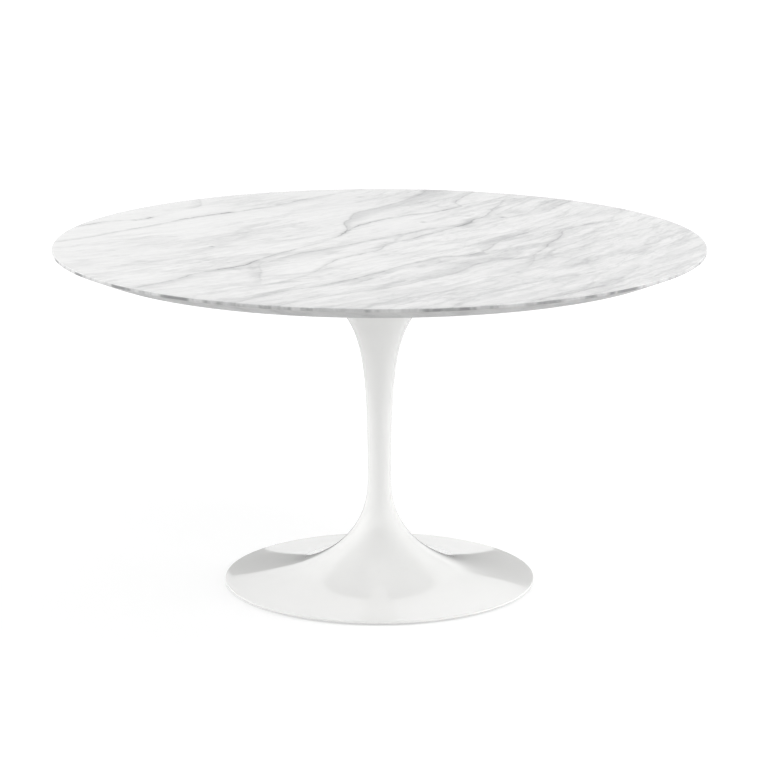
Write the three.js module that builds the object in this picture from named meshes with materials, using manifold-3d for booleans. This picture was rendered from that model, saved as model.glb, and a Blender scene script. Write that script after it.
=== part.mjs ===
// Round pedestal table: a bevelled marble slab on a hollow trumpet-shaped casting.
// A tie rod down the neck clamps the casting to a steel plate, and the plate carries the slab.
// Millimetres, +Z up, origin on the floor under the centre of the table.
import * as THREE from "three";
import { mergeVertices } from "three/addons/utils/BufferGeometryUtils.js";
import Module from "manifold-3d";

// ---- Driving dimensions ----

// Table
const TABLE_HEIGHT = 737;
const TOP_DIAMETER = 1370;
const FOOT_DIAMETER = 664;

// Marble slab
const SLAB_THICKNESS = 30;
const SLAB_EDGE_HEIGHT = 7;
const SLAB_BEVEL_WIDTH = 57;
const SLAB_ARRIS = 0.8;

// Outside curve of the casting, from the rim over the shoulder and the neck up to the mouth.
// The angles are between the curve and level ground, and the pulls are the lengths of its handles.
const RIM_ANGLE = 1.2;
const RIM_PULL = 70;
const SHOULDER_RADIUS = 170;
const SHOULDER_HEIGHT = 30.1;
const SHOULDER_ANGLE = 23;
const SHOULDER_PULL_OUT = 36;
const SHOULDER_PULL_IN = 137.6;
const NECK_RADIUS = 24.7;
const NECK_HEIGHT = 225;
const NECK_PULL_DOWN = 62.8;
const NECK_PULL_UP = 387.6;
const MOUTH_RADIUS = 150;
const MOUTH_ANGLE = 61.3;
const MOUTH_PULL = 189.3;

// Inside of the casting
const CASTING_WALL = 7;
const RIM_THICKNESS = 5;
const RIM_CORNER = 1.6;
const MOUTH_FLANGE_THICKNESS = 10;
const MOUTH_FLANGE_WIDTH = 24;
const LEDGE_HEIGHT = 96;
const LEDGE_THICKNESS = 9;
const LEDGE_BORE_RADIUS = 34;

// Mounting plate, its gasket and its screws
const PLATE_EDGE = 22;
const PLATE_THICKNESS = 6;
const GASKET_THICKNESS = 2;
const SCREW_COUNT = 6;
const SCREW_TO_MOUTH = 18;
const SCREW_RADIUS = 4;
const SCREW_LENGTH = 22;
const SCREW_HEAD_FLATS = 13;
const SCREW_HEAD_HEIGHT = 5.3;
const WASHER_RADIUS = 8;
const WASHER_THICKNESS = 1.6;
const INSERT_RADIUS = 6;
const INSERT_LENGTH = 16;

// Dowels between the casting's mouth and the plate
const DOWEL_COUNT = 2;
const DOWEL_RADIUS = 3;
const DOWEL_DEPTH = 7.5;

// Tie rod and what clamps it
const ROD_RADIUS = 8;
const ROD_BOSS_FLATS = 30;
const ROD_BOSS_HEIGHT = 26;
const CLAMP_SEAT_WIDTH = 12;
const CLAMP_PLATE_THICKNESS = 8;
const ROD_WASHER_RADIUS = 15;
const ROD_WASHER_THICKNESS = 3;
const ROD_NUT_FLATS = 24;
const ROD_NUT_HEIGHT = 13;
const LOCK_NUT_HEIGHT = 8;
const ROD_TAIL = 6;

// Levelling glides
const GLIDE_COUNT = 4;
const GLIDE_FROM_RIM = 96;
const GLIDE_START_ANGLE = Math.PI / 4;
const GLIDE_PAD_RADIUS = 16;
const GLIDE_PAD_HEIGHT = 4.5;
const GLIDE_PAD_CORNER = 0.8;
const GLIDE_FLOOR_SKIN = 1.4;
const GLIDE_HEAD_RADIUS = 7;
const GLIDE_HEAD_THICKNESS = 2;
const GLIDE_STUD_RADIUS = 4;
const GLIDE_KEY_FLATS = 4;
const GLIDE_KEY_HOLE_RADIUS = 4;
const GLIDE_KEY_DEPTH = 4;
const GLIDE_BOSS_RADIUS = 11;
const GLIDE_THREAD_SKIN = 2;
const RIM_FLOOR_GAP = 3;

// Clearances
const SCREW_CLEARANCE = 0.5;
const THREAD_CLEARANCE = 0.2;
const INSERT_CLEARANCE = 0.3;
const DOWEL_CLEARANCE = 0.1;
const SEAT_CLEARANCE = 0.3;
const GLIDE_HEAD_PLAY = 0.15;
const HOLE_END_CLEARANCE = 1;
const ROD_CLEARANCE = 0.5;

// How far a cutting tool runs past the face that it cuts through, and a joined piece into its neighbour
const OVERRUN = 1;

// Facets around each kind of round
const SLAB_FACETS = 80;
const CASTING_FACETS = 48;
const PLATE_FACETS = 48;
const GLIDE_PAD_FACETS = 20;
const SMALL_FACETS = 16;

// Steps along each curve of the casting
const SKIRT_STEPS = 4;
const FOOT_STEPS = 9;
const FLARE_STEPS = 11;

// ---- Levels and places worked out from the driving dimensions ----

const topRadius = TOP_DIAMETER / 2;
const footRadius = FOOT_DIAMETER / 2;
const slabUnderside = TABLE_HEIGHT - SLAB_THICKNESS;
const plateTop = slabUnderside - GASKET_THICKNESS;
const plateUnderside = plateTop - PLATE_THICKNESS;
const mouthHeight = plateUnderside;
const rimTop = RIM_FLOOR_GAP + RIM_THICKNESS;
const screwHeadTop = plateUnderside - WASHER_THICKNESS;
const screwHoleRadius = SCREW_RADIUS + SCREW_CLEARANCE;
const threadRadius = SCREW_RADIUS + THREAD_CLEARANCE;
const screwCircleRadius = MOUTH_RADIUS + SCREW_TO_MOUTH;
const plateRadius = screwCircleRadius + PLATE_EDGE;
const dowelHoleRadius = DOWEL_RADIUS + DOWEL_CLEARANCE;
const dowelCircleRadius = MOUTH_RADIUS - MOUTH_FLANGE_WIDTH / 2;
const ledgeUnderside = LEDGE_HEIGHT - LEDGE_THICKNESS;
const clampPlateRadius = LEDGE_BORE_RADIUS + CLAMP_SEAT_WIDTH;
const rodTop = plateUnderside - SEAT_CLEARANCE;
const rodWasherTop = ledgeUnderside - CLAMP_PLATE_THICKNESS;
const rodNutTop = rodWasherTop - ROD_WASHER_THICKNESS;
const lockNutTop = rodNutTop - ROD_NUT_HEIGHT;
const rodBottom = lockNutTop - LOCK_NUT_HEIGHT - ROD_TAIL;
const rodHoleRadius = ROD_RADIUS + ROD_CLEARANCE;
const glideCircleRadius = footRadius - GLIDE_FROM_RIM;
const glideBossUnderside = GLIDE_PAD_HEIGHT + SEAT_CLEARANCE;
const glideHeadBottom = GLIDE_FLOOR_SKIN + GLIDE_HEAD_PLAY;
const glideHeadTop = glideHeadBottom + GLIDE_HEAD_THICKNESS;

// ---- Materials ----

const material = (color, roughness, metalness) =>
  new THREE.MeshStandardMaterial({ color, roughness, metalness });
const MARBLE = material(0xe4e4e3, 0.22, 0);
const LACQUER = material(0xf2f2ef, 0.15, 0);
const STEEL = material(0x9a9da0, 0.4, 1);
const ZINC = material(0xb4b6b2, 0.35, 1);
const BRASS = material(0xb08d4c, 0.35, 1);
const RUBBER = material(0x222222, 0.85, 0);
const NYLON = material(0xd8d6cf, 0.5, 0);

// ---- Solids ----

const wasm = await Module();
wasm.setup();

// A lathe section of [radius, height] points that closes on itself or runs from axis to axis.
function turned(section, facets) {
  const points = section.map(([radius, height]) => new THREE.Vector2(radius, height));
  return new THREE.LatheGeometry(points, facets).rotateX(Math.PI / 2);
}

function disc(radius, low, high, facets = SMALL_FACETS) {
  return turned([[0, low], [radius, low], [radius, high], [0, high]], facets);
}

function ring(inner, outer, low, high, facets = SMALL_FACETS) {
  return turned([[inner, low], [outer, low], [outer, high], [inner, high], [inner, low]], facets);
}

// A hexagonal prism, measured across its flats.
function hexagon(acrossFlats, low, high) {
  return disc(acrossFlats / Math.sqrt(3), low, high, 6);
}

// [x, y] of count places on a circle, the first one at startAngle.
function circle(count, radius, startAngle = 0) {
  return Array.from({ length: count }, (_, index) => {
    const angle = startAngle + (2 * Math.PI * index) / count;
    return [radius * Math.cos(angle), radius * Math.sin(angle)];
  });
}

function around(geometry, count, radius, startAngle = 0) {
  return circle(count, radius, startAngle).map(([x, y]) => geometry.clone().translate(x, y, 0));
}

function toSolid(geometry) {
  const bare = geometry.clone();
  bare.deleteAttribute("normal");
  bare.deleteAttribute("uv");
  const merged = mergeVertices(bare, 1e-4);
  const corners = merged.index.array;
  const kept = [];
  for (let at = 0; at < corners.length; at += 3) {
    const [a, b, c] = corners.slice(at, at + 3);
    if (a !== b && b !== c && c !== a) {
      kept.push(a, b, c);
    }
  }
  const mesh = new wasm.Mesh({
    numProp: 3,
    vertProperties: Float32Array.from(merged.attributes.position.array),
    triVerts: Uint32Array.from(kept),
  });
  return new wasm.Manifold(mesh);
}

function toGeometry(solid) {
  const mesh = solid.getMesh();
  const geometry = new THREE.BufferGeometry();
  geometry.setAttribute("position", new THREE.BufferAttribute(mesh.vertProperties, 3));
  geometry.setIndex(new THREE.BufferAttribute(mesh.triVerts, 1));
  geometry.computeVertexNormals();
  return geometry;
}

function joined(base, pieces) {
  return pieces.reduce((solid, piece) => solid.add(toSolid(piece)), toSolid(base));
}

function cut(solid, tools) {
  return tools.reduce((left, tool) => left.subtract(toSolid(tool)), solid);
}

// ---- Outside curve of the casting ----

// A curve between two [radius, height] points. Each handle is a length and an angle from level.
function curve(start, startHandle, endHandle, end) {
  const handle = ([r, z], [pull, degrees]) => {
    const angle = THREE.MathUtils.degToRad(degrees);
    return new THREE.Vector2(r + pull * Math.cos(angle), z + pull * Math.sin(angle));
  };
  return new THREE.CubicBezierCurve(
    new THREE.Vector2(...start),
    handle(start, startHandle),
    handle(end, endHandle),
    new THREE.Vector2(...end),
  );
}

const rim = [footRadius - RIM_CORNER, rimTop];
const shoulder = [SHOULDER_RADIUS, SHOULDER_HEIGHT];
const neck = [NECK_RADIUS, NECK_HEIGHT];
const mouth = [MOUTH_RADIUS, mouthHeight];
const skirtCurve = curve(rim, [RIM_PULL, 180 - RIM_ANGLE], [SHOULDER_PULL_OUT, -SHOULDER_ANGLE], shoulder);
const footCurve = curve(shoulder, [SHOULDER_PULL_IN, 180 - SHOULDER_ANGLE], [NECK_PULL_DOWN, -90], neck);
const flareCurve = curve(neck, [NECK_PULL_UP, 90], [MOUTH_PULL, 180 + MOUTH_ANGLE], mouth);

// Points along a curve, moved by depth square to it towards the inside of the casting.
function along(bezier, steps, depth = 0) {
  return Array.from({ length: steps + 1 }, (_, index) => {
    const point = bezier.getPointAt(index / steps);
    const tangent = bezier.getTangentAt(index / steps);
    return [point.x - depth * tangent.y, point.y + depth * tangent.x];
  });
}

// The casting's surface at a depth under its outside, from the rim to the mouth.
function surface(depth) {
  return [
    ...along(skirtCurve, SKIRT_STEPS, depth),
    ...along(footCurve, FOOT_STEPS, depth).slice(1),
    ...along(flareCurve, FLARE_STEPS, depth).slice(1),
  ];
}

// Where a surface crosses a height, and where it crosses a radius outside the neck.
function radiusAt(points, height) {
  const above = points.findIndex(([, z]) => z > height);
  const [[r0, z0], [r1, z1]] = points.slice(above - 1, above + 1);
  return r0 + ((r1 - r0) * (height - z0)) / (z1 - z0);
}

function heightAt(points, radius) {
  const inside = points.findIndex(([r]) => r < radius);
  const [[r0, z0], [r1, z1]] = points.slice(inside - 1, inside + 1);
  return z0 + ((z1 - z0) * (r0 - radius)) / (r0 - r1);
}

const outside = surface(0);
const middle = surface(CASTING_WALL / 2);
const inside = surface(CASTING_WALL);
const glideBoreTop =
  heightAt(outside, glideCircleRadius + GLIDE_STUD_RADIUS + THREAD_CLEARANCE) - GLIDE_THREAD_SKIN;

// ---- Pieces ----

const table = new THREE.Group();

function addPiece(name, geometry, look, x = 0, y = 0) {
  const mesh = new THREE.Mesh(geometry, look);
  mesh.name = name;
  mesh.position.set(x, y, 0);
  table.add(mesh);
}

// Numbered copies of a piece on a circle, the first one at startAngle.
function addAround(name, geometry, look, count, radius, startAngle = 0) {
  circle(count, radius, startAngle).forEach(([x, y], index) => {
    addPiece(`${name}_${index + 1}`, geometry, look, x, y);
  });
}

// The slab, with a blind hole in its underside for each insert.
function marbleTop() {
  const section = [
    [0, slabUnderside],
    [topRadius - SLAB_BEVEL_WIDTH, slabUnderside],
    [topRadius, TABLE_HEIGHT - SLAB_EDGE_HEIGHT],
    [topRadius, TABLE_HEIGHT - SLAB_ARRIS],
    [topRadius - SLAB_ARRIS, TABLE_HEIGHT],
    [0, TABLE_HEIGHT],
  ];
  const hole = disc(
    INSERT_RADIUS + INSERT_CLEARANCE,
    slabUnderside - OVERRUN,
    slabUnderside + INSERT_LENGTH + HOLE_END_CLEARANCE,
  );
  const slab = toSolid(turned(section, SLAB_FACETS));
  return toGeometry(cut(slab, around(hole, SCREW_COUNT, screwCircleRadius)));
}

function plateGasket() {
  const hole = disc(INSERT_RADIUS + INSERT_CLEARANCE, plateTop - OVERRUN, slabUnderside + OVERRUN);
  const sheet = toSolid(disc(plateRadius, plateTop, slabUnderside, PLATE_FACETS));
  return toGeometry(cut(sheet, around(hole, SCREW_COUNT, screwCircleRadius)));
}

function mountingPlate() {
  const screwHole = disc(screwHoleRadius, plateUnderside - OVERRUN, plateTop + OVERRUN);
  const dowelHole = disc(dowelHoleRadius, plateUnderside - OVERRUN, plateTop + OVERRUN);
  const plate = toSolid(disc(plateRadius, plateUnderside, plateTop, PLATE_FACETS));
  return toGeometry(
    cut(plate, [
      ...around(screwHole, SCREW_COUNT, screwCircleRadius),
      ...around(dowelHole, DOWEL_COUNT, dowelCircleRadius),
    ]),
  );
}

// A hexagon-headed screw, head down.
function plateScrew() {
  const head = hexagon(SCREW_HEAD_FLATS, screwHeadTop - SCREW_HEAD_HEIGHT, screwHeadTop);
  const shank = disc(SCREW_RADIUS, screwHeadTop - OVERRUN, screwHeadTop + SCREW_LENGTH);
  return toGeometry(joined(head, [shank]));
}

function hexagonNut(acrossFlats, low, high) {
  const bore = disc(ROD_RADIUS + THREAD_CLEARANCE, low - OVERRUN, high + OVERRUN);
  return toGeometry(cut(toSolid(hexagon(acrossFlats, low, high)), [bore]));
}

// The hollow casting before anything is joined to it or drilled in it.
function castingShell() {
  const flangeUnderside = mouthHeight - MOUTH_FLANGE_THICKNESS;
  const flangeRadius = MOUTH_RADIUS - MOUTH_FLANGE_WIDTH;
  const hollow = inside.filter(([, z]) => z > RIM_FLOOR_GAP && z < flangeUnderside);
  const rimInside = [radiusAt(inside, RIM_FLOOR_GAP), RIM_FLOOR_GAP];
  const section = [
    rimInside,
    [footRadius - RIM_CORNER, RIM_FLOOR_GAP],
    [footRadius, RIM_FLOOR_GAP + RIM_CORNER],
    [footRadius, rimTop - RIM_CORNER],
    ...outside,
    [flangeRadius, mouthHeight],
    [flangeRadius, flangeUnderside],
    [radiusAt(inside, flangeUnderside), flangeUnderside],
    ...hollow.reverse(),
    rimInside,
  ];
  return turned(section, CASTING_FACETS);
}

// The ledge inside the foot that the clamp plate pulls up against.
function castingLedge() {
  const section = [
    [LEDGE_BORE_RADIUS, ledgeUnderside],
    [radiusAt(middle, ledgeUnderside), ledgeUnderside],
    [radiusAt(middle, LEDGE_HEIGHT), LEDGE_HEIGHT],
    [LEDGE_BORE_RADIUS, LEDGE_HEIGHT],
    [LEDGE_BORE_RADIUS, ledgeUnderside],
  ];
  return turned(section, CASTING_FACETS);
}

function pedestal() {
  const bossTop = heightAt(middle, glideCircleRadius + GLIDE_BOSS_RADIUS);
  const boss = disc(GLIDE_BOSS_RADIUS, glideBossUnderside, bossTop);
  const bosses = around(boss, GLIDE_COUNT, glideCircleRadius, GLIDE_START_ANGLE);
  const padRecess = disc(GLIDE_PAD_RADIUS + SEAT_CLEARANCE, 0, glideBossUnderside);
  const glideBore = disc(GLIDE_STUD_RADIUS + THREAD_CLEARANCE, 0, glideBoreTop);
  const dowelBore = disc(dowelHoleRadius, mouthHeight - DOWEL_DEPTH, mouthHeight + OVERRUN);
  const casting = joined(castingShell(), [castingLedge(), ...bosses]);
  return toGeometry(
    cut(casting, [
      ...around(padRecess, GLIDE_COUNT, glideCircleRadius, GLIDE_START_ANGLE),
      ...around(glideBore, GLIDE_COUNT, glideCircleRadius, GLIDE_START_ANGLE),
      ...around(dowelBore, DOWEL_COUNT, dowelCircleRadius),
    ]),
  );
}

// A stud whose round head turns in its pad and takes a hexagon key from below.
function glideStud() {
  const section = [
    [0, glideHeadBottom],
    [GLIDE_HEAD_RADIUS, glideHeadBottom],
    [GLIDE_HEAD_RADIUS, glideHeadTop],
    [GLIDE_STUD_RADIUS, glideHeadTop],
    [GLIDE_STUD_RADIUS, glideBoreTop - HOLE_END_CLEARANCE],
    [0, glideBoreTop - HOLE_END_CLEARANCE],
  ];
  const keySocket = hexagon(GLIDE_KEY_FLATS, 0, glideHeadBottom + GLIDE_KEY_DEPTH);
  return toGeometry(cut(toSolid(turned(section, SMALL_FACETS)), [keySocket]));
}

// A round pad with a hole for the key, a pocket for the stud's head and a lip that keeps it in.
function glidePad() {
  const pocket = GLIDE_HEAD_RADIUS + SEAT_CLEARANCE;
  const lip = GLIDE_STUD_RADIUS + SEAT_CLEARANCE;
  const pocketTop = glideHeadTop + GLIDE_HEAD_PLAY;
  const section = [
    [GLIDE_KEY_HOLE_RADIUS, 0],
    [GLIDE_PAD_RADIUS - GLIDE_PAD_CORNER, 0],
    [GLIDE_PAD_RADIUS, GLIDE_PAD_CORNER],
    [GLIDE_PAD_RADIUS, GLIDE_PAD_HEIGHT - GLIDE_PAD_CORNER],
    [GLIDE_PAD_RADIUS - GLIDE_PAD_CORNER, GLIDE_PAD_HEIGHT],
    [lip, GLIDE_PAD_HEIGHT],
    [lip, pocketTop],
    [pocket, pocketTop],
    [pocket, GLIDE_FLOOR_SKIN],
    [GLIDE_KEY_HOLE_RADIUS, GLIDE_FLOOR_SKIN],
    [GLIDE_KEY_HOLE_RADIUS, 0],
  ];
  return turned(section, GLIDE_PAD_FACETS);
}

const insert = ring(threadRadius, INSERT_RADIUS, slabUnderside, slabUnderside + INSERT_LENGTH);
const washer = ring(screwHoleRadius, WASHER_RADIUS, screwHeadTop, plateUnderside);
const dowelLow = mouthHeight - DOWEL_DEPTH + SEAT_CLEARANCE;
const dowel = disc(DOWEL_RADIUS, dowelLow, plateTop - SEAT_CLEARANCE);
const boss = hexagonNut(ROD_BOSS_FLATS, plateUnderside - ROD_BOSS_HEIGHT, plateUnderside);
const clampPlate = ring(rodHoleRadius, clampPlateRadius, rodWasherTop, ledgeUnderside, PLATE_FACETS / 2);
const rodWasher = ring(rodHoleRadius, ROD_WASHER_RADIUS, rodNutTop, rodWasherTop);

addPiece("marble_top", marbleTop(), MARBLE);
addAround("top_insert", insert, BRASS, SCREW_COUNT, screwCircleRadius);
addPiece("plate_gasket", plateGasket(), RUBBER);
addPiece("mounting_plate", mountingPlate(), STEEL);
addAround("plate_washer", washer, ZINC, SCREW_COUNT, screwCircleRadius);
addAround("plate_screw", plateScrew(), ZINC, SCREW_COUNT, screwCircleRadius);
addPiece("rod_boss", boss, STEEL);
addPiece("tie_rod", disc(ROD_RADIUS, rodBottom, rodTop), ZINC);
addPiece("pedestal", pedestal(), LACQUER);
addAround("plate_dowel", dowel, STEEL, DOWEL_COUNT, dowelCircleRadius);
addPiece("clamp_plate", clampPlate, STEEL);
addPiece("rod_washer", rodWasher, ZINC);
addPiece("rod_nut", hexagonNut(ROD_NUT_FLATS, lockNutTop, rodNutTop), ZINC);
addPiece("rod_lock_nut", hexagonNut(ROD_NUT_FLATS, lockNutTop - LOCK_NUT_HEIGHT, lockNutTop), ZINC);
addAround("glide_stud", glideStud(), ZINC, GLIDE_COUNT, glideCircleRadius, GLIDE_START_ANGLE);
addAround("glide_pad", glidePad(), NYLON, GLIDE_COUNT, glideCircleRadius, GLIDE_START_ANGLE);

export default table;
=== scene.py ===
"""Round pedestal table: the shown surfaces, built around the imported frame.

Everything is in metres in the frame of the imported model, with the floor at zero and +Z up.
"""
import math

import bmesh
import bpy
from bpy.props import FloatProperty, FloatVectorProperty, IntProperty, PointerProperty
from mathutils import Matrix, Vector


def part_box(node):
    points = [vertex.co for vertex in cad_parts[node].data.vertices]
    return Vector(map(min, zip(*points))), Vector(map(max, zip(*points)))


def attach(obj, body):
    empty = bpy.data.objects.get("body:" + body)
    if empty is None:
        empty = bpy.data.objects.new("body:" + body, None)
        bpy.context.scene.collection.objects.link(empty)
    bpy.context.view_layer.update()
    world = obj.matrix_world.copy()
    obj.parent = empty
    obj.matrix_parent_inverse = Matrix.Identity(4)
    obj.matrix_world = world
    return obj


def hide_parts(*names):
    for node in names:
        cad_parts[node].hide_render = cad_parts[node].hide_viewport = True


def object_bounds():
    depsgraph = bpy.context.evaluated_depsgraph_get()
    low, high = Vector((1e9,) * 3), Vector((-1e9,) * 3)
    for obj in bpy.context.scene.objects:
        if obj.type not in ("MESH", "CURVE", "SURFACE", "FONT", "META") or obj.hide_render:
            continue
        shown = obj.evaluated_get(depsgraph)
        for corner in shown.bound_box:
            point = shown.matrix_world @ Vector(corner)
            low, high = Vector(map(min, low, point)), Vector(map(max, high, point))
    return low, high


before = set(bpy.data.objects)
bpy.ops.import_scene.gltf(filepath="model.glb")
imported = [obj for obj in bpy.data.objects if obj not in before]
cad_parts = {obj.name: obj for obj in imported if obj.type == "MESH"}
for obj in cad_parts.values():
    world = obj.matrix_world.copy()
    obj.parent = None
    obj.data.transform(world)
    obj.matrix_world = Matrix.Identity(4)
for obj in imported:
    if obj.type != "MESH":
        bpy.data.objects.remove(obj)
cad_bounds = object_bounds()

bl_info = {
    "name": "Round Pedestal Table",
    "version": (1, 0, 0),
    "blender": (4, 5, 0),
    "location": "View3D > Sidebar > Table",
    "description": "Builds a marble-topped pedestal table and its studio",
    "category": "Object",
}

TABLE = "table"
MM = 0.001

# Gaps between pieces, and how far a drill runs past what it cuts.
SEAT_GAP = 0.3 * MM
THREAD_GAP = 0.2 * MM
PIN_GAP = 0.1 * MM
OVERCUT = 1 * MM


# ---- Settings ----


def length(name, description, millimetres):
    """A length property with its default in millimetres."""
    return FloatProperty(
        name=name, description=description, default=millimetres * MM, min=0, unit="LENGTH", precision=5
    )


def angle(name, description, degrees):
    """An angle property with its default in degrees."""
    return FloatProperty(name=name, description=description, default=math.radians(degrees), subtype="ANGLE")


def number(name, description, value):
    """A plain number, 0 or more."""
    return FloatProperty(name=name, description=description, default=value, min=0, precision=4)


def colour(name, description, value):
    """A colour property."""
    return FloatVectorProperty(
        name=name, description=description, default=value, size=3, min=0, max=1, subtype="COLOR"
    )


class SlabSettings(bpy.types.PropertyGroup):
    """Sizes and colours of the marble slab."""

    edge_height: length("Edge height", "Height of the upright part of the edge", 7)
    bevel_width: length("Bevel width", "How far the bevel runs in under the slab", 57)
    arris: length("Arris", "Radius of the worn upper corner", 1.2)
    crease: length("Crease", "Radius where the edge meets the bevel and the bevel the underside", 1.0)
    ground: colour("Ground", "Colour of the stone between its veins", (0.870, 0.870, 0.866))
    cloud: colour("Cloud", "Colour of the soft grey bands", (0.450, 0.452, 0.456))
    # Painted shade: this colour darkens the cut edge, the bevel and the underside, standing in for the shade
    # on them.
    side: colour("Side", "Colour of the stone's shaded side and bevel", (0.39, 0.39, 0.39))
    vein: colour("Vein", "Colour of the thin dark veins", (0.200, 0.202, 0.206))


class CastingSettings(bpy.types.PropertyGroup):
    """Sizes and colours of the trumpet-shaped casting."""

    wall: length("Wall", "Thickness of the casting", 7)
    rim_height: length("Rim height", "Height of the upright rim", 5)
    rim_round: length("Rim round", "Radius of the rim's two corners", 1.6)
    rim_angle: angle("Rim angle", "Slope of the foot at its rim", 1.2)
    rim_pull: length("Rim pull", "How far the foot keeps that slope", 70)
    lip_round: length("Lip round", "Radius of the mouth's outer corner", 1.2)
    neck_radius: length("Neck radius", "Radius of the casting at its narrowest", 24.7)
    neck_height: length("Neck height", "Height of the narrowest place", 225)
    shoulder_radius: length("Shoulder radius", "Radius where the foot starts to rise", 170)
    shoulder_height: length("Shoulder height", "Height where the foot starts to rise", 30.1)
    shoulder_angle: angle("Shoulder angle", "Slope of the foot there", 23)
    skirt_pull: length("Skirt pull", "How far the foot keeps that slope outwards", 36)
    foot_pull: length("Foot pull", "How far the foot keeps that slope inwards", 137.6)
    neck_pull: length("Neck pull", "How far the foot leaves the neck upright", 62.8)
    flare_pull: length("Flare pull", "How far the flare leaves the neck upright", 387.6)
    mouth_radius: length("Mouth radius", "Radius of the flare at the plate", 150)
    mouth_angle: angle("Mouth angle", "Slope of the flare at the plate", 61.3)
    mouth_pull: length("Mouth pull", "How far the flare keeps that slope", 189.3)
    ledge_bore: length("Ledge bore", "Radius of the hole in the ledge inside the foot", 34)
    ledge_thickness: length("Ledge thickness", "Thickness of that ledge", 9)
    boss_radius: length("Boss radius", "Radius of the bosses that hold the glides", 11)
    flange_width: length("Flange width", "Width of the flat ring inside the mouth", 24)
    flange_thickness: length("Flange thickness", "Thickness of that ring", 10)
    segments: IntProperty(name="Segments", description="Facets around the casting", default=160, min=24)
    lacquer: colour("Lacquer", "Colour of the gloss lacquer", (0.90, 0.90, 0.887))
    inside_coat: colour("Inside coat", "Colour of the thin coat inside the foot", (0.62, 0.62, 0.605))


class HardwareSettings(bpy.types.PropertyGroup):
    """Sizes and colours of the plate, the screws, the tie rod and the glides."""

    screw_radius: length("Screw radius", "Radius of the plate screws", 4)
    screw_hole: length("Screw hole", "Radius of the holes for the plate screws", 4.5)
    screw_flats: length("Screw flats", "Width of a screw's head across its flats", 13)
    stud_radius: length("Stud radius", "Radius of the glides' studs", 4)
    stud_head_thickness: length("Stud head", "Thickness of a stud's head", 2)
    key_flats: length("Key flats", "Width of the key socket across its flats", 4)
    key_depth: length("Key depth", "Depth of the key socket", 4)
    key_hole_radius: length("Key hole", "Radius of the hole in a pad for the key", 4)
    head_play: length("Head play", "Play of a stud's head in its pad", 0.15)
    pad_corner: length("Pad corner", "Size of a pad's broken corners", 0.8)
    screw_pitch: length("Screw pitch", "Thread pitch of screws and studs", 1.25)
    rod_pitch: length("Rod pitch", "Thread pitch of the tie rod", 2.0)
    break_edge: length("Broken edge", "Radius of small broken edges", 0.4)
    steel: colour("Steel", "Colour of bare plate steel", (0.46, 0.47, 0.48))
    zinc: colour("Zinc", "Colour of bright zinc plating", (0.66, 0.67, 0.66))
    brass: colour("Brass", "Colour of the inserts", (0.73, 0.55, 0.26))
    rubber: colour("Rubber", "Colour of the gasket", (0.035, 0.035, 0.036))
    nylon: colour("Nylon", "Colour of the glide pads", (0.68, 0.67, 0.63))


class StudioSettings(bpy.types.PropertyGroup):
    """Floor, lights and camera."""

    floor_radius: length("Floor radius", "Radius of the floor disc", 60000)
    floor_colour: colour("Floor", "Colour of the floor", (0.55, 0.55, 0.55))
    bounce_radius: length("Bounce radius", "Radius of the floor that lights the table", 20000)
    bounce_colour: colour("Bounce floor", "Colour of the floor that lights the table", (0.72, 0.72, 0.72))
    floor_glow: number("Glow near", "Light that the floor adds by the table", 0.5)
    floor_glow_far: number("Glow far", "Light that the floor adds far away", 0.75)
    # The flats are painted reflections: glowing cards that only the lacquer and the stone mirror.
    flat_glow: number("Flats", "Strength of the dim flats behind the table", 0.2)
    back_high: number("Back high", "Strength of the sky high up behind the table", 0.9)
    back_low: number("Back low", "Strength of the sky low down behind the table", 0.9)
    front_high: number("Front high", "Strength of the sky high up in front", 1.2)
    front_low: number("Front low", "Strength of the sky low down in front", 1.1)
    left_high: number("Left high", "Strength of the sky high up on the left", 0.9)
    left_low: number("Left low", "Strength of the sky low down on the left", 0.5)
    right_high: number("Right high", "Strength of the sky high up on the right", 0.7)
    right_low: number("Right low", "Strength of the sky low down on the right", 0.8)
    zenith: number("Zenith", "Strength of the sky overhead", 0.4)
    key_power: number("Key", "Power of the high softbox on the right", 60)
    left_power: number("Left", "Power of the softbox on the left", 110)
    right_power: number("Right", "Power of the softbox on the right", 90)
    camera_distance: length("Distance", "Distance of the camera in front of the table", 6199)
    camera_height: length("Height", "Height of the camera", 1883)
    camera_pitch: angle("Pitch", "Downward tilt of the camera", 13.18)
    camera_lens: number("Lens", "Focal length in millimetres", 140.4)
    camera_shift: number("Shift", "Sideways shift of the picture", 0.0059)


class TableSettings(bpy.types.PropertyGroup):
    """All settings of the table."""

    slab: PointerProperty(type=SlabSettings)
    casting: PointerProperty(type=CastingSettings)
    hardware: PointerProperty(type=HardwareSettings)
    studio: PointerProperty(type=StudioSettings)


def settings():
    """The table's settings in this scene."""
    return bpy.context.scene.pedestal_table


# ---- Shader nodes ----


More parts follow.
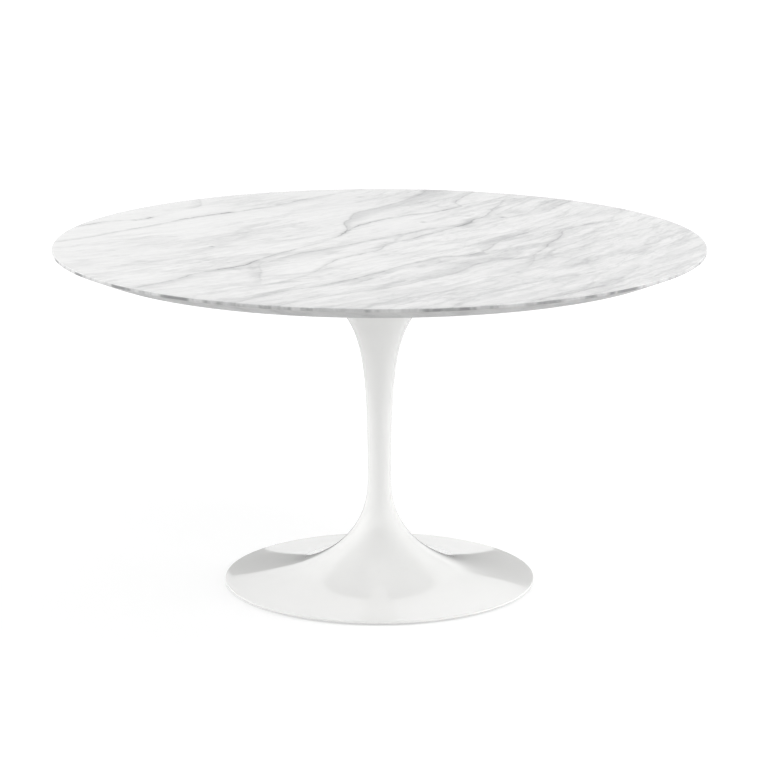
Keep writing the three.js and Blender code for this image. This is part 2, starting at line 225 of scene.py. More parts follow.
class Value:
    """A shader socket. Arithmetic on it adds Math nodes, or Vector Math nodes where it is a vector."""

    def __init__(self, shader, socket):
        self.shader = shader
        self.socket = socket

    def _combine(self, operation, first, second):
        vector = any(isinstance(x, Value) and x.socket.type in {"VECTOR", "RGBA"} for x in (first, second))
        kind = "ShaderNodeVectorMath" if vector else "ShaderNodeMath"
        if vector and operation == "MULTIPLY" and isinstance(second, (int, float)):
            return self.shader.add(kind, {"operation": "SCALE"}, {0: first, 3: second})
        return self.shader.add(kind, {"operation": operation}, {0: first, 1: second})

    def __add__(self, other):
        return self._combine("ADD", self, other)

    def __radd__(self, other):
        return self._combine("ADD", other, self)

    def __sub__(self, other):
        return self._combine("SUBTRACT", self, other)

    def __rsub__(self, other):
        return self._combine("SUBTRACT", other, self)

    def __mul__(self, other):
        return self._combine("MULTIPLY", self, other)

    def __rmul__(self, other):
        return self._combine("MULTIPLY", self, other)

    def __truediv__(self, other):
        return self._combine("DIVIDE", self, other)

    def __rtruediv__(self, other):
        return self._combine("DIVIDE", other, self)

    def __abs__(self):
        return self.shader.add("ShaderNodeMath", {"operation": "ABSOLUTE"}, {0: self})

    def least(self, other):
        """The lesser of two numbers."""
        return self._combine("MINIMUM", self, other)

    def most(self, other):
        """The greater of two numbers."""
        return self._combine("MAXIMUM", self, other)

    def clamped(self):
        """The number held between 0 and 1."""
        return self.shader.add("ShaderNodeClamp", {}, {"Value": self})

    def eased(self, low, high):
        """0 below low, 1 above high and a smooth rise between."""
        return self.shader.add(
            "ShaderNodeMapRange",
            {"interpolation_type": "SMOOTHSTEP"},
            {"Value": self, "From Min": low, "From Max": high, "To Min": 0.0, "To Max": 1.0},
        )


class Shader:
    """The node tree of one material, with its Principled surface."""

    def __init__(self, name, **surface):
        self.material = bpy.data.materials.new(name)
        self.material.use_nodes = True
        self.tree = self.material.node_tree
        self.surface = self.tree.nodes["Principled BSDF"]
        self.set(self.surface, surface)

    def set(self, node, sockets):
        """Sets or links sockets of a node, named by index or by name with _ for spaces."""
        for key, value in sockets.items():
            socket = node.inputs[key.replace("_", " ") if isinstance(key, str) else key]
            if isinstance(value, Value):
                self.tree.links.new(value.socket, socket)
            elif socket.type == "RGBA" and len(value) == 3:
                socket.default_value = (*value, 1.0)
            elif socket.type == "VECTOR" and isinstance(value, (int, float)):
                socket.default_value = (value, value, value)
            else:
                socket.default_value = value

    def add(self, kind, setup=None, sockets=None, output=0):
        """Adds a node: its settings first, then its sockets. Gives back one of its outputs."""
        node = self.tree.nodes.new(kind)
        for key, value in (setup or {}).items():
            if key == "curves":
                for curve, points in zip(node.mapping.curves, value):
                    draw_curve(curve, points)
                node.mapping.update()
            else:
                setattr(node, key, value)
        self.set(node, sockets or {})
        return Value(self, node.outputs[output])

    def place(self):
        """Where a point of the surface is, in metres in the frame."""
        return self.add("ShaderNodeTexCoord", output="Object")

    def noise(self, vector, scale, detail=4.0, roughness=0.55, distortion=0.0, output="Fac"):
        """Fractal noise, with scale in features a metre."""
        sockets = {
            "Vector": vector,
            "Scale": scale,
            "Detail": detail,
            "Roughness": roughness,
            "Distortion": distortion,
        }
        return self.add("ShaderNodeTexNoise", {"noise_dimensions": "3D"}, sockets, output)

    def mix(self, first, second, factor):
        """A colour between two colours."""
        setup = {"data_type": "RGBA", "clamp_factor": True}
        return self.add("ShaderNodeMix", setup, {0: factor, 6: first, 7: second}, output=2)

    def spread(self, vector, x, y, z):
        """A vector with each of its parts multiplied."""
        return self.add("ShaderNodeVectorMath", {"operation": "MULTIPLY"}, {0: vector, 1: (x, y, z)})

    def swung(self, vector, angle):
        """A vector turned about the vertical axis."""
        setup = {"rotation_type": "Z_AXIS"}
        return self.add("ShaderNodeVectorRotate", setup, {"Vector": vector, "Angle": angle})

    def grey(self, level):
        """A grey of some level."""
        return self.add("ShaderNodeCombineColor", {"mode": "RGB"}, {0: level, 1: level, 2: level})

    def parts(self, vector):
        """The three parts of a vector."""
        first = self.add("ShaderNodeSeparateXYZ", {}, {"Vector": vector})
        node = first.socket.node
        return [Value(self, output) for output in node.outputs]

    def bump(self, height, distance, strength=1.0):
        """A surface normal from a height, with the height of 1 in metres."""
        sockets = {"Height": height, "Distance": distance, "Strength": strength}
        return self.add("ShaderNodeBump", {}, sockets)

    def finish(self, **surface):
        """Links the surface's sockets and gives back the material."""
        self.set(self.surface, surface)
        return self.material


class Sky(Shader):
    """The node tree of the sky, with its Background."""

    def __init__(self, name):
        self.material = bpy.data.worlds.new(name)
        self.material.use_nodes = True
        self.tree = self.material.node_tree
        self.surface = self.tree.nodes["Background"]


def draw_curve(curve, points):
    """Puts points on one curve of a curve node."""
    while len(curve.points) > 2:
        curve.points.remove(curve.points[1])
    points = sorted(points)
    curve.points[0].location = points[0]
    curve.points[1].location = points[-1]
    for x, y in points[1:-1]:
        curve.points.new(x, y)
    for point in curve.points:
        point.handle_type = "AUTO_CLAMPED"


# ---- Marble ----

# Main veins run this way across the slab, from the +X axis.
VEIN_DIRECTION = math.radians(50)

# Each vein is a row of points, from the near end to the far end:
# x, y, half width of its dark line, darkness of the line, width of its grey band, strength of the band.
# A negative band lies on the right of the line, seen along the vein.
VEINS = [
    [
        (-0.485, -0.5, 0.004, 0.3, -0.06, 0.45),
        (-0.45, -0.46, 0.004, 0.35, -0.055, 0.45),
        (-0.399, -0.399, 0.003, 0.6, -0.03, 0.35),
        (-0.358, -0.337, 0.002, 0.7, -0.015, 0.2),
        (-0.271, -0.256, 0.003, 1.0, -0.03, 0.45),
        (-0.24, -0.184, 0.003, 0.7, -0.03, 0.35),
        (-0.179, -0.082, 0.002, 0.6, -0.015, 0.25),
        (-0.118, 0.01, 0.002, 0.45, -0.01, 0.15),
        (-0.072, 0.128, 0.003, 0.9, -0.01, 0.4),
        (-0.067, 0.174, 0.003, 0.7, -0.02, 0.6),
        (-0.072, 0.235, 0.003, 0.45, -0.03, 0.75),
        (-0.063, 0.296, 0.003, 0.4, -0.045, 0.85),
        (-0.053, 0.358, 0.003, 0.4, -0.06, 0.9),
        (-0.026, 0.404, 0.003, 0.35, -0.06, 0.85),
        (0.015, 0.46, 0.003, 0.35, -0.055, 0.75),
        (0.056, 0.521, 0.003, 0.35, -0.07, 0.8),
        (0.092, 0.603, 0.004, 0.4, -0.09, 0.9),
        (0.11, 0.675, 0.004, 0.4, -0.1, 0.95),
    ],
    [
        (-0.69, 0.0, 0.003, 0.25, 0.02, 0.25),
        (-0.583, 0.092, 0.003, 0.35, 0.02, 0.3),
        (-0.5, 0.194, 0.003, 0.6, -0.015, 0.3),
        (-0.419, 0.286, 0.003, 0.75, -0.015, 0.3),
        (-0.353, 0.347, 0.004, 1.0, -0.015, 0.35),
        (-0.286, 0.409, 0.003, 0.65, -0.015, 0.3),
        (-0.204, 0.496, 0.003, 0.6, -0.03, 0.35),
        (-0.143, 0.572, 0.003, 0.55, -0.025, 0.3),
        (-0.061, 0.654, 0.003, 0.45, 0.02, 0.25),
        (-0.03, 0.69, 0.003, 0.4, 0.02, 0.25),
    ],
    [
        (-0.68, 0.16, 0.003, 0.1, 0.02, 0.1),
        (-0.654, 0.189, 0.003, 0.55, 0.02, 0.2),
        (-0.603, 0.235, 0.004, 0.9, 0.02, 0.25),
        (-0.562, 0.262, 0.003, 0.35, 0.02, 0.2),
        (-0.53, 0.268, 0.004, 0.95, 0.02, 0.3),
        (-0.496, 0.302, 0.004, 0.9, 0.02, 0.25),
        (-0.45, 0.36, 0.003, 0.0, 0.02, 0.05),
    ],
    [
        (-0.07, 0.128, 0.002, 0.6, 0.01, 0.3),
        (-0.033, 0.22, 0.003, 0.75, 0.015, 0.35),
        (0.0, 0.266, 0.003, 0.75, 0.015, 0.35),
        (0.072, 0.332, 0.003, 0.65, 0.015, 0.3),
        (0.128, 0.373, 0.003, 0.75, 0.015, 0.35),
        (0.153, 0.399, 0.004, 0.8, 0.02, 0.35),
        (0.186, 0.448, 0.003, 0.65, 0.015, 0.3),
        (0.172, 0.485, 0.003, 0.6, 0.015, 0.4),
        (0.184, 0.542, 0.003, 0.5, 0.03, 0.5),
        (0.21, 0.629, 0.003, 0.4, 0.04, 0.55),
        (0.22, 0.66, 0.003, 0.4, 0.04, 0.55),
    ],
    [
        (-0.245, -0.5, 0.003, 0.15, 0.015, 0.1),
        (-0.155, -0.37, 0.003, 0.3, 0.015, 0.2),
        (-0.115, -0.27, 0.003, 0.3, 0.015, 0.25),
        (-0.085, -0.195, 0.003, 0.55, 0.02, 0.3),
        (-0.045, -0.14, 0.003, 0.6, 0.03, 0.3),
        (0.0, -0.085, 0.003, 0.6, 0.03, 0.35),
        (0.02, -0.02, 0.002, 0.4, 0.03, 0.4),
        (0.061, 0.031, 0.003, 0.55, -0.025, 0.55),
        (0.097, 0.087, 0.003, 0.6, -0.02, 0.45),
        (0.133, 0.133, 0.003, 0.65, 0.025, 0.5),
        (0.164, 0.184, 0.004, 0.75, 0.03, 0.6),
        (0.192, 0.23, 0.005, 1.0, 0.02, 0.8),
        (0.204, 0.266, 0.004, 0.75, 0.02, 0.55),
        (0.235, 0.317, 0.003, 0.55, -0.03, 0.45),
        (0.25, 0.388, 0.003, 0.45, -0.02, 0.35),
        (0.271, 0.47, 0.003, 0.4, -0.015, 0.3),
        (0.281, 0.521, 0.003, 0.25, -0.01, 0.2),
    ],
    [
        (-0.25, -0.29, 0.003, 0.1, -0.03, 0.2),
        (-0.2, -0.175, 0.003, 0.25, -0.03, 0.35),
        (-0.165, -0.125, 0.003, 0.5, -0.03, 0.4),
        (-0.11, -0.075, 0.003, 0.55, -0.02, 0.35),
        (-0.05, -0.015, 0.003, 0.55, -0.02, 0.4),
        (0.0, 0.046, 0.003, 0.5, -0.015, 0.35),
        (0.061, 0.112, 0.003, 0.45, -0.015, 0.35),
        (0.11, 0.16, 0.003, 0.4, -0.02, 0.35),
        (0.18, 0.225, 0.003, 0.3, -0.02, 0.3),
    ],
    [
        (0.3, -0.26, 0.003, 0.15, 0.02, 0.15),
        (0.312, -0.205, 0.003, 0.5, 0.02, 0.25),
        (0.317, -0.143, 0.003, 0.4, 0.02, 0.25),
        (0.342, -0.072, 0.003, 0.6, 0.015, 0.3),
        (0.358, -0.01, 0.003, 0.5, 0.015, 0.3),
        (0.386, 0.082, 0.003, 0.55, 0.02, 0.4),
        (0.399, 0.143, 0.003, 0.55, 0.02, 0.35),
        (0.434, 0.19, 0.003, 0.55, 0.02, 0.35),
        (0.475, 0.232, 0.003, 0.5, 0.02, 0.3),
        (0.52, 0.262, 0.003, 0.0, 0.02, 0.05),
    ],
    [
        (-0.3, -0.64, 0.003, 0.25, 0.02, 0.2),
        (-0.245, -0.588, 0.003, 0.3, 0.02, 0.25),
        (-0.184, -0.525, 0.003, 0.5, 0.015, 0.25),
        (-0.102, -0.45, 0.003, 0.5, -0.02, 0.3),
        (-0.041, -0.38, 0.004, 0.75, -0.04, 0.4),
        (0.051, -0.256, 0.003, 0.55, -0.02, 0.3),
        (0.112, -0.18, 0.003, 0.5, -0.03, 0.35),
        (0.189, -0.135, 0.003, 0.6, -0.04, 0.45),
        (0.23, -0.061, 0.003, 0.4, 0.04, 0.5),
        (0.261, 0.031, 0.003, 0.35, 0.04, 0.45),
        (0.307, 0.112, 0.003, 0.5, 0.02, 0.35),
        (0.348, 0.174, 0.003, 0.25, 0.02, 0.2),
        (0.38, 0.215, 0.003, 0.0, 0.02, 0.0),
    ],
    [
        (0.33, 0.33, 0.003, 0.05, 0.04, 0.2),
        (0.368, 0.378, 0.003, 0.2, 0.05, 0.35),
        (0.409, 0.46, 0.004, 0.35, 0.06, 0.55),
        (0.439, 0.521, 0.004, 0.4, 0.06, 0.65),
        (0.47, 0.58, 0.004, 0.3, 0.05, 0.4),
    ],
    [
        (-0.23, -0.42, 0.003, 0.1, 0.03, 0.2),
        (-0.235, -0.33, 0.003, 0.25, 0.05, 0.5),
        (-0.24, -0.25, 0.003, 0.2, 0.05, 0.45),
        (-0.225, -0.19, 0.003, 0.05, 0.02, 0.15),
    ],
    [
        (-0.43, 0.4, 0.003, 0.0, 0.02, 0.05),
        (-0.405, 0.45, 0.003, 0.25, 0.03, 0.35),
        (-0.409, 0.531, 0.003, 0.15, 0.03, 0.3),
    ],
    [
        (-0.23, -0.69, 0.003, 0.2, 0.02, 0.2),
        (-0.09, -0.56, 0.003, 0.25, 0.03, 0.25),
        (0.06, -0.44, 0.003, 0.3, 0.04, 0.35),
        (0.15, -0.33, 0.003, 0.35, 0.05, 0.4),
        (0.215, -0.22, 0.003, 0.35, 0.05, 0.45),
        (0.33, -0.16, 0.003, 0.15, 0.03, 0.25),
    ],
    [
        (0.3, -0.6, 0.003, 0.2, 0.03, 0.2),
        (0.42, -0.48, 0.003, 0.3, 0.03, 0.3),
        (0.49, -0.36, 0.003, 0.35, 0.04, 0.35),
        (0.52, -0.27, 0.003, 0.2, 0.03, 0.2),
    ],
]

# Small dark inclusions: x, y, radius, darkness.
INCLUSIONS = [
    (-0.348, -0.046, 0.01, 0.8),
    (0.095, 0.243, 0.011, 0.75),
    (0.596, 0.176, 0.014, 0.5),
    (0.518, 0.21, 0.008, 0.45),
    (0.271, 0.307, 0.013, 0.8),
    (-0.046, 0.572, 0.014, 0.4),
]

# Height of the slab's upper face.
TOP_LEVEL = cad_bounds[1][2]


def along_and_across(x, y):
    """A place on the slab as distances along and across the main veins."""
    cos, sin = math.cos(VEIN_DIRECTION), math.sin(VEIN_DIRECTION)
    return x * cos + y * sin, y * cos - x * sin


def vein_layers(shader, along, across, points):
    """The dark line and the grey band of one vein, each from 0 to 1."""
    rows = sorted((*along_and_across(x, y), *rest) for x, y, *rest in points)

    def track(column):
        return [(row[0], row[column]) for row in rows]

    def fading(column):
        """The same with both ends brought down to nothing, so that a vein ends where its points do."""
        return [(rows[0][0] - 0.04, 0.0), *track(column), (rows[-1][0] + 0.04, 0.0)]

    def followed(width, strength):
        """The vein's middle, a width and a strength at each point along it."""
        curves = [track(1), track(width), fading(strength)]
        return shader.parts(shader.add("ShaderNodeVectorCurve", {"curves": curves}, {"Vector": along}))

    centre, half_width, darkness = followed(2, 3)
    _, width, strength = followed(4, 5)
    offset = across - centre
    distance = abs(offset)
    core = (1.0 - distance / (half_width * 1.3)).clamped()
    halo = (1.0 - distance / (half_width * 7.0)).clamped()
    reach = offset / width
    spread = (1.6 - reach * 1.6).least(1.0 + reach * 6.0).clamped()
    return (core * 0.60 + halo * halo * 0.42) * darkness, spread * strength


def wisps(shader, vector, scale, seed, width):
    """Thin wandering lines where a stretched noise passes through its middle value."""
    field = shader.noise(shader.spread(vector, *scale) + seed, 1.0, 4.0, 0.55, 0.5)
    return (1.0 - abs(field - 0.5) / width).clamped()


def marble(slab):
    """Polished white marble: placed main veins, a wispy network between them and soft clouds."""
    shader = Shader("polished_marble", IOR=1.5)
    place = shader.place()
    x, y, height = shader.parts(place)
    drift = (shader.noise(place, 5.0, 3.0, 0.6, output="Color") - 0.5) * 0.030
    jitter = (shader.noise(place, 34.0, 4.0, 0.65, output="Color") - 0.5) * 0.013
    level = shader.spread(place, 1.0, 1.0, 0.5) + drift + jitter
    u, v, _ = shader.parts(shader.swung(level, -VEIN_DIRECTION))
    along = shader.add("ShaderNodeCombineXYZ", {}, {0: u, 1: u, 2: u})

    # Placed veins
    line, band = None, None
    for points in VEINS:
        core, spread = vein_layers(shader, along, v, points)
        line = core if line is None else line.most(core)
        band = spread if band is None else band.most(spread)
    spot_place = place + drift * 0.3 + jitter
    for spot_x, spot_y, radius, darkness in INCLUSIONS:
        centre = (spot_x, spot_y, TOP_LEVEL)
        sockets = {0: spot_place, 1: centre}
        distance = shader.add("ShaderNodeVectorMath", {"operation": "DISTANCE"}, sockets, output=1)
        line = line.most((1.0 - distance / radius).clamped() * darkness)

    # Streaks that follow the veins. They stand steeper on the right.
    swept = shader.swung(level, -VEIN_DIRECTION - x * 0.28)
    streak = shader.noise(shader.spread(swept, 5.0, 42.0, 12.0), 1.0, 5.0, 0.62)
    fine_streak = shader.noise(shader.spread(swept, 16.0, 95.0, 40.0), 1.0, 4.0, 0.6)
    breaks = shader.noise(shader.spread(swept, 26.0, 12.0, 20.0), 1.0, 3.0, 0.6).eased(0.30, 0.60)
    line = line * (0.18 + breaks * 0.95)
    band = band * (0.30 + streak * 1.05 + fine_streak * 0.5)

    # Wisps at four scales, in patches
    crowd = x * 0.22 - y * 0.16 + 0.06
    patch = (shader.noise(place, 2.6, 3.0, 0.5) + crowd).eased(0.34, 0.60)
    fine_patch = (shader.noise(place + 3.0, 5.5, 3.0, 0.5) + crowd).eased(0.36, 0.60)
    broad = wisps(shader, swept, (1.1, 5.0, 3.0), (3.0, 1.0, 2.0), 0.055) * patch
    thin = wisps(shader, swept, (2.4, 13.0, 6.0), (7.0, 4.0, 1.0), 0.040) * fine_patch
    hair = wisps(shader, swept, (6.0, 34.0, 12.0), (1.0, 8.0, 5.0), 0.050) * (patch * 0.7 + 0.3)
    net = wisps(shader, swept, (8.0, 19.0, 9.0), (2.0, 5.0, 1.0), 0.055) * fine_patch

    # Clouds, and a painted shade that darkens the top towards the right and the back
    billow = shader.noise(shader.spread(swept, 1.6, 6.0, 3.0), 1.0, 6.0, 0.6, 0.3)
    cloud = (billow + crowd * 0.6).eased(0.40, 0.78)
    mottle = shader.noise(place, 60.0, 4.0, 0.65).eased(0.25, 0.8)
    grain = shader.noise(shader.spread(swept, 60.0, 190.0, 100.0), 1.0, 3.0, 0.6)

    grey = band * 0.74 + cloud * 0.28 + broad * 0.36 + thin * 0.42 + hair * 0.20 + net * 0.20
    grey = grey + (streak - 0.44) * 0.50 + (fine_streak - 0.5) * 0.28
    grey = grey + (mottle - 0.5) * 0.24 + (grain - 0.5) * 0.24
    # Painted shade: a smooth ramp makes the stone darker towards the right and the back.
    grey = grey + x.eased(-0.6, 0.15) * 0.19 + y.eased(0.0, 0.6) * 0.06
    tone = shader.mix(slab.ground, slab.cloud, (grey * 0.70).clamped())
    tone = shader.mix(tone, slab.vein, line.clamped())

    # The cut edge, the bevel and the underside are rougher and carry a painted shade, less on the upright
    # edge than below it; the edge and the bevel are mottled where veins come out
    below = 1.0 - height.eased(TOP_LEVEL - 2.5 * MM, TOP_LEVEL - 0.8 * MM)
    upright = height.eased(TOP_LEVEL - 9.5 * MM, TOP_LEVEL - 6.5 * MM) * below
    rim_mottle = shader.noise(shader.spread(place, 1.0, 1.0, 0.4) + 7.0, 17.0, 3.0, 0.6).eased(0.47, 0.62)
    # Painted shade: the side colour is mixed in below the arris, less on the upright edge than on the bevel
    # and the underside.
    tone = shader.mix(tone, slab.side, (below * 0.62 - upright * 0.22).clamped())
    tone = shader.mix(tone, slab.vein, (rim_mottle * (upright * 0.52 + below * 0.28)).clamped())
    polish = 0.12 + line * 0.10 + mottle * 0.05 + below * 0.18
    return shader.finish(Base_Color=tone, Roughness=polish)


# ---- Other materials ----


def scaled(tint, share):
    """A colour made darker or lighter."""
    return tuple(min(1.0, channel * share) for channel in tint)


def lacquer(casting):
    """Gloss white lacquer with a faint ripple from spraying."""
    shader = Shader("gloss_lacquer", IOR=1.5, Coat_Roughness=0.03, Coat_IOR=1.5)
    place = shader.place()
    ripple = shader.noise(place, 420.0, 2.0, 0.5)
    wave = shader.noise(place, 14.0, 2.0, 0.4)
    dust = shader.noise(place, 60.0, 4.0, 0.6).eased(0.55, 0.8)
    tint = scaled(casting.lacquer, 0.97)
    return shader.finish(
        Base_Color=shader.mix(casting.lacquer, tint, dust),
        Roughness=0.06 + wave * 0.04 + dust * 0.04,
        Coat_Weight=1.0 - dust * 0.15,
        Normal=shader.bump(ripple * 0.03 + wave, 0.00005),
    )


def cast_coat(casting):
    """The thin matt coat on the sand-cast surface inside the foot."""
    shader = Shader("cast_coat", IOR=1.5)
    place = shader.place()
    grain = shader.noise(place, 900.0, 3.0, 0.65)
    lumps = shader.noise(place, 120.0, 4.0, 0.6)
    overspray = shader.noise(place, 9.0, 4.0, 0.6).eased(0.4, 0.7)
    light = scaled(casting.inside_coat, 1.25)
    return shader.finish(
        Base_Color=shader.mix(casting.inside_coat, light, overspray),
        Roughness=0.62 + grain * 0.2,
        Normal=shader.bump(grain * 0.4 + lumps, 0.0004),
    )


def plate_steel(hardware):
    """Mill-finished plate steel with rolling lines and faint heat tint."""
    shader = Shader("plate_steel")
    place = shader.place()
    rolling = shader.noise(shader.spread(place, 12.0, 700.0, 200.0), 1.0, 3.0, 0.6)
    stain = shader.noise(place, 22.0, 5.0, 0.6).eased(0.4, 0.75)
    dark = scaled(hardware.steel, 0.62)
    return shader.finish(
        Base_Color=shader.mix(hardware.steel, dark, stain * 0.6),
        Metallic=1.0,
        Roughness=0.34 + rolling * 0.14 + stain * 0.1,
        Normal=shader.bump(rolling, 0.00003),
    )


def zinc_plating(hardware):
    """Bright zinc plating, slightly clouded."""
    shader = Shader("zinc_plating")
    place = shader.place()
    cloud = shader.noise(place, 90.0, 4.0, 0.6).eased(0.35, 0.75)
    scuff = shader.noise(shader.spread(place, 1.0, 1.0, 6.0), 480.0, 3.0, 0.7)
    dull = scaled(hardware.zinc, 0.8)
    return shader.finish(
        Base_Color=shader.mix(hardware.zinc, dull, cloud),
        Metallic=1.0,
        Roughness=0.24 + cloud * 0.1 + scuff * 0.1,
        Normal=shader.bump(scuff, 0.00002),
    )


def brass(hardware):
    """Machined brass with tool lines."""
    shader = Shader("machined_brass")
    place = shader.place()
    lines = shader.noise(shader.spread(place, 40.0, 40.0, 2600.0), 1.0, 2.0, 0.5)
    tarnish = shader.noise(place, 130.0, 4.0, 0.6).eased(0.45, 0.75)
    dark = scaled(hardware.brass, 0.6)
    return shader.finish(
        Base_Color=shader.mix(hardware.brass, dark, tarnish * 0.7),
        Metallic=1.0,
        Roughness=0.26 + lines * 0.12 + tarnish * 0.15,
        Normal=shader.bump(lines, 0.00003),
    )


def rubber(hardware):
    """Sheet rubber with a cloth-like skin and chalky dust."""
    shader = Shader("sheet_rubber", IOR=1.5)
    place = shader.place()
    skin = shader.noise(place, 1500.0, 2.0, 0.6)
    chalk = shader.noise(place, 35.0, 5.0, 0.65).eased(0.45, 0.8)
    pale = scaled(hardware.rubber, 2.4)
    return shader.finish(
        Base_Color=shader.mix(hardware.rubber, pale, chalk),
        Roughness=0.72 + skin * 0.16,
        Normal=shader.bump(skin, 0.00008),
    )


def nylon(hardware):
    """Moulded nylon, scuffed where it meets the floor."""
    shader = Shader("moulded_nylon", IOR=1.53)
    place = shader.place()
    grain = shader.noise(place, 1100.0, 3.0, 0.6)
    scuff = shader.noise(shader.spread(place, 1.0, 5.0, 1.0), 160.0, 4.0, 0.7).eased(0.45, 0.7)
    worn = scaled(hardware.nylon, 0.72)
    return shader.finish(
        Base_Color=shader.mix(hardware.nylon, worn, scuff),
        Roughness=0.42 + grain * 0.15 + scuff * 0.15,
        Normal=shader.bump(grain * 0.4 + scuff, 0.00006),
    )


# ---- Shapes ----

FULL_TURN = 2 * math.pi
ARC_STEPS = 5
ROUND_SEGMENTS = 32
SMALL_SEGMENTS = 48
HEXAGON_SEGMENTS = 60
DISC_SEGMENTS = 64
RING_SEGMENTS = 96
PLATE_SEGMENTS = 128
SLAB_SEGMENTS = 256


def rounded(corners):
    """An outline of (radius, height) or (radius, height, rounding) corners, as points with its arcs."""
    points = []
    for index, (radius, height, *rounding) in enumerate(corners):
        here = Vector((radius, height))
        if not rounding:
            points.append(here)
            continue
        back = (Vector(corners[index - 1][:2]) - here).normalized()
        onward = (Vector(corners[(index + 1) % len(corners)][:2]) - here).normalized()
        half = back.angle(onward) / 2
        centre = here + (back + onward).normalized() * rounding[0] / math.sin(half)
        reach = rounding[0] / math.tan(half)
        first = (here + back * reach - centre).normalized()
        last = (here + onward * reach - centre).normalized()
        arms = [first.slerp(last, step / ARC_STEPS) for step in range(ARC_STEPS + 1)]
        points += [centre + arm * rounding[0] for arm in arms]
    return points


def turned(outline, segments, shape=None):
    """A bmesh of an outline turned about the vertical axis.

    shape(radius, height, angle), if given, says what each radius becomes.
    """
    mesh = bmesh.new()
    rings = []
    for radius, height in outline:
        if radius < 1e-7:
            rings.append([mesh.verts.new((0, 0, height))])
            continue
        ring = []
        for index in range(segments):
            angle = FULL_TURN * index / segments
            reach = shape(radius, height, angle) if shape else radius
            ring.append(mesh.verts.new((reach * math.cos(angle), reach * math.sin(angle), height)))
        rings.append(ring)
    open_ended = len(rings[0]) == 1 and len(rings[-1]) == 1
    pairs = list(zip(rings, rings[1:] if open_ended else [*rings[1:], rings[0]]))
    for lower, upper in pairs:
        for index in range(segments):
            corners = [lower[index % len(lower)], lower[(index + 1) % len(lower)]]
            corners += [upper[(index + 1) % len(upper)], upper[index % len(upper)]]
            corners = list(dict.fromkeys(corners))
            if len(corners) > 2:
                mesh.faces.new(corners)
    bmesh.ops.recalc_face_normals(mesh, faces=mesh.faces)
    return mesh


def hexagon_reach(flats, angle):
    """How far a hexagon reaches at an angle, from the size across its flats."""
    sixth = FULL_TURN / 6
    return flats / 2 / math.cos((angle + sixth / 2) % sixth - sixth / 2)


def chamfered_flats(flats, low, high, both=True):
    """Outline corners of a hexagon's flank from low to high, with its corners chamfered."""
    corner = flats / math.sqrt(3)
    inner = flats / 2 * 0.96
    drop = (corner - inner) * math.tan(math.radians(30))
    flank = [(corner + (inner - corner) * step / 4, high - drop + drop * step / 4) for step in range(5)]
    start = [(corner, low)]
    if both:
        start = [(radius, low + high - height) for radius, height in reversed(flank)]
    return start + flank


def thread_cut(height, angle, low, high, pitch):
    """How deep a thread cuts at a height and an angle, in metres. It runs out over two turns at its ends."""
    fade = max(0.0, min(1.0, (height - low) / pitch, (high - height) / (2 * pitch)))
    phase = (height / pitch - angle / FULL_TURN) % 1
    return 0.6 * pitch * fade * min(1.0, max(0.0, 1.25 * abs(2 * phase - 1) - 0.1))


def stretch(radius, low, high, step):
    """Outline points up a straight flank, close enough together for a thread."""
    count = max(1, round((high - low) / step))
    return [(radius, low + (high - low) * index / count) for index in range(count + 1)]


def joined_with(target, tool, operation):
    """The target after a boolean with a bmesh tool, which is then thrown away."""
    helper = new_object("tool", tool)
    modifier = target.modifiers.new("cut", "BOOLEAN")
    modifier.operation = operation
    modifier.solver = "EXACT"
    modifier.object = helper
    bpy.context.view_layer.update()
    result = bpy.data.meshes.new_from_object(target.evaluated_get(bpy.context.evaluated_depsgraph_get()))
    target.modifiers.clear()
    old = target.data
    target.data = result
    bpy.data.meshes.remove(old)
    spare = helper.data
    bpy.data.objects.remove(helper)
    bpy.data.meshes.remove(spare)


def moved_copies(make, places):
    """One bmesh that holds a copy of a made bmesh at each (x, y) place."""
    whole = bmesh.new()
    for x, y in places:
        one = make()
        bmesh.ops.translate(one, verts=one.verts, vec=(x, y, 0))
        spare = bpy.data.meshes.new("copy")
        one.to_mesh(spare)
        one.free()
        whole.from_mesh(spare)
        bpy.data.meshes.remove(spare)
    return whole


def new_object(name, shape):
    """An object in the scene, from a bmesh or from a mesh that other pieces share."""
    mesh = shape
    if isinstance(shape, bmesh.types.BMesh):
        mesh = bpy.data.meshes.new(name)
        shape.to_mesh(mesh)
        shape.free()
    made = bpy.data.objects.new(name, mesh)
    bpy.context.scene.collection.objects.link(made)
    return made


def finish_piece(piece, material, body, slot, *nodes, crease=35):
    """Shades a piece, puts its material on, ties it to its body and hides the nodes it stands for. The slot
    is not used.
    """
    piece.data.shade_smooth()
    piece.data.set_sharp_from_angle(angle=math.radians(crease))
    weighted = piece.modifiers.new("even shading", "WEIGHTED_NORMAL")
    weighted.keep_sharp = True
    piece.data.materials.clear()
    piece.data.materials.append(material)
    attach(piece, body)
    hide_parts(*nodes)
    return piece


def named_nodes(stem):
    """The numbered nodes with this stem, in order."""
    found = [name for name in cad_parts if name.rsplit("_", 1)[0] == stem]
    return sorted(found, key=lambda name: int(name.rsplit("_", 1)[1]))


def centre(node):
    """The (x, y) of a node's upright axis."""
    low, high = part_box(node)
    return (low.x + high.x) / 2, (low.y + high.y) / 2


def levels(node):
    """The lowest and highest height of a node."""
    low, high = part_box(node)
    return low.z, high.z


def half_width(node):
    """Half a node's size along X."""
    low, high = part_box(node)
    return (high.x - low.x) / 2


def place_copies(name, shape, material, bodies, slot, nodes, turn):
    """Puts one shared mesh at each of some nodes, each turned a little further than the last."""
    first = None
    for index, (node, body) in enumerate(zip(nodes, bodies), start=1):
        piece = new_object(f"{name}_{index}", first.data if first else shape)
        first = first or piece
        x, y = centre(node)
        piece.location = (x, y, 0)
        piece.rotation_euler.z = turn * index
        finish_piece(piece, material, body, slot, node)


# ---- Slab ----


